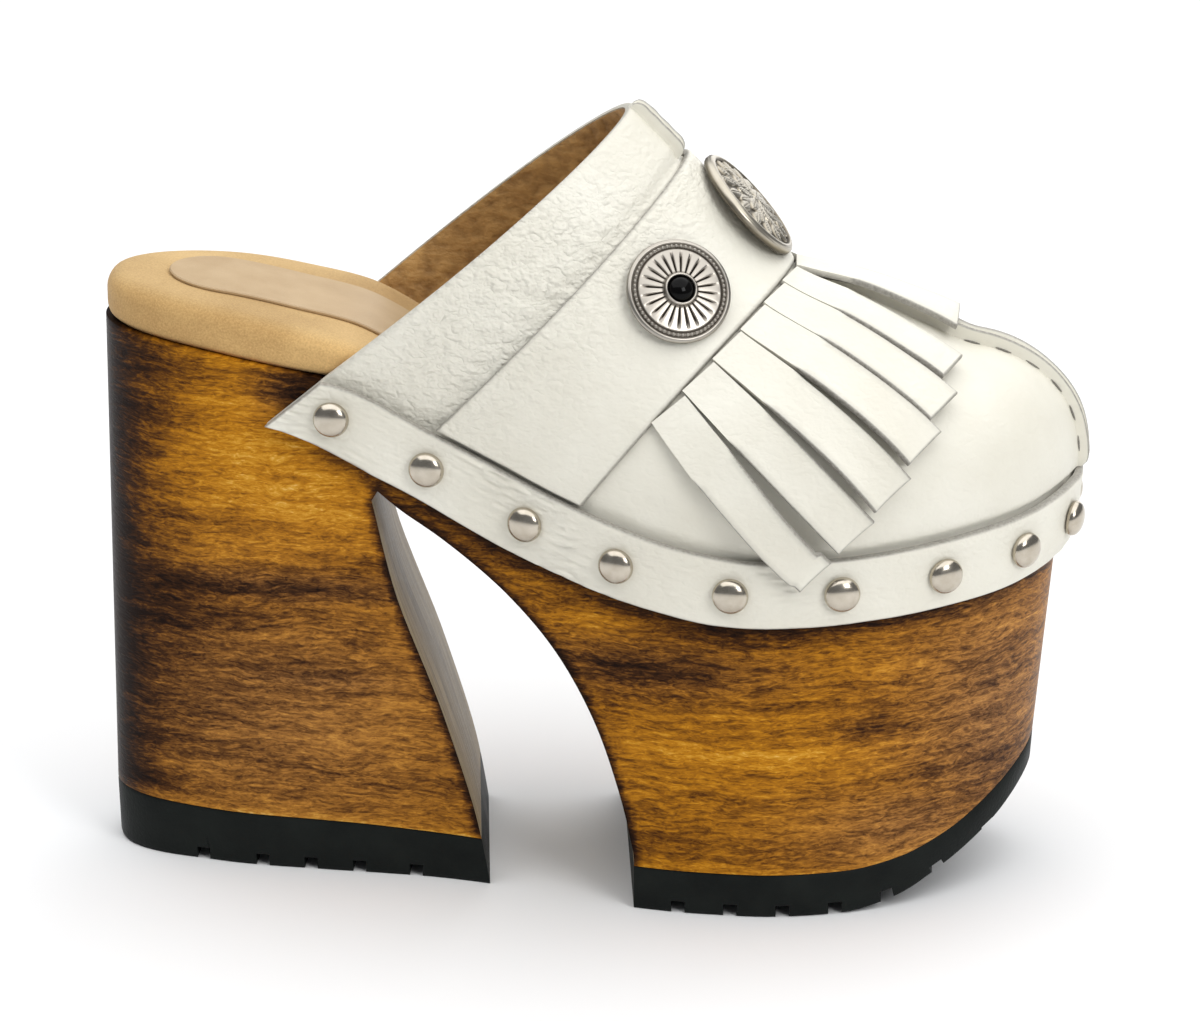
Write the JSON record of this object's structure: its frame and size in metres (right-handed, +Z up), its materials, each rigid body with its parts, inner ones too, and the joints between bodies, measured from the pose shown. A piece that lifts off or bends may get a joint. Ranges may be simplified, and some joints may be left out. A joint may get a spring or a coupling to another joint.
{
  "type": "platform clog",
  "caption": "White leather mule clog with fringed instep saddle and silver ornaments, nailed to a tall carved wooden platform with rubber treads.",
  "frame": {"origin": "on the floor under the middle of the shoe's bounding box", "axes": "+X towards the toe, +Y towards the inner side of the foot, +Z up"},
  "size_m": [0.2376, 0.1056, 0.1893],
  "materials": {
    "varnished_wood": "streaky amber to dark brown wood under gloss varnish",
    "tread_rubber": "matt black rubber",
    "tan_suede": "tan suede nap",
    "label_leather": "smooth pinkish beige leather, left bare",
    "white_leather": "warm white leather, smooth on saddle and fringe, lightly grained elsewhere",
    "nickel": "polished nickel domes",
    "antique_silver": "silver plate darkened in its hollows",
    "black_stone": "polished black cabochon"
  },
  "bodies": {
    "root": {"sole_block": "varnished_wood", "heel_outsole": "tread_rubber", "forefoot_outsole": "tread_rubber", "insole": "tan_suede", "insole_label": "label_leather", "upper": "white_leather", "rand": "white_leather", "saddle_band": "white_leather", "fringe": "white_leather", "concho_centre": "antique_silver", "concho_outer": "antique_silver", "concho_inner": "antique_silver", "stone_outer": "black_stone", "stone_inner": "black_stone", "nail_01": "nickel", "nail_02": "nickel", "nail_03": "nickel", "nail_04": "nickel", "nail_05": "nickel", "nail_06": "nickel", "nail_07": "nickel", "nail_08": "nickel", "nail_09": "nickel", "nail_10": "nickel", "nail_11": "nickel", "nail_12": "nickel", "nail_13": "nickel", "nail_14": "nickel", "nail_15": "nickel", "nail_16": "nickel", "nail_17": "nickel", "nail_18": "nickel"}
  },
  "joints": []
}
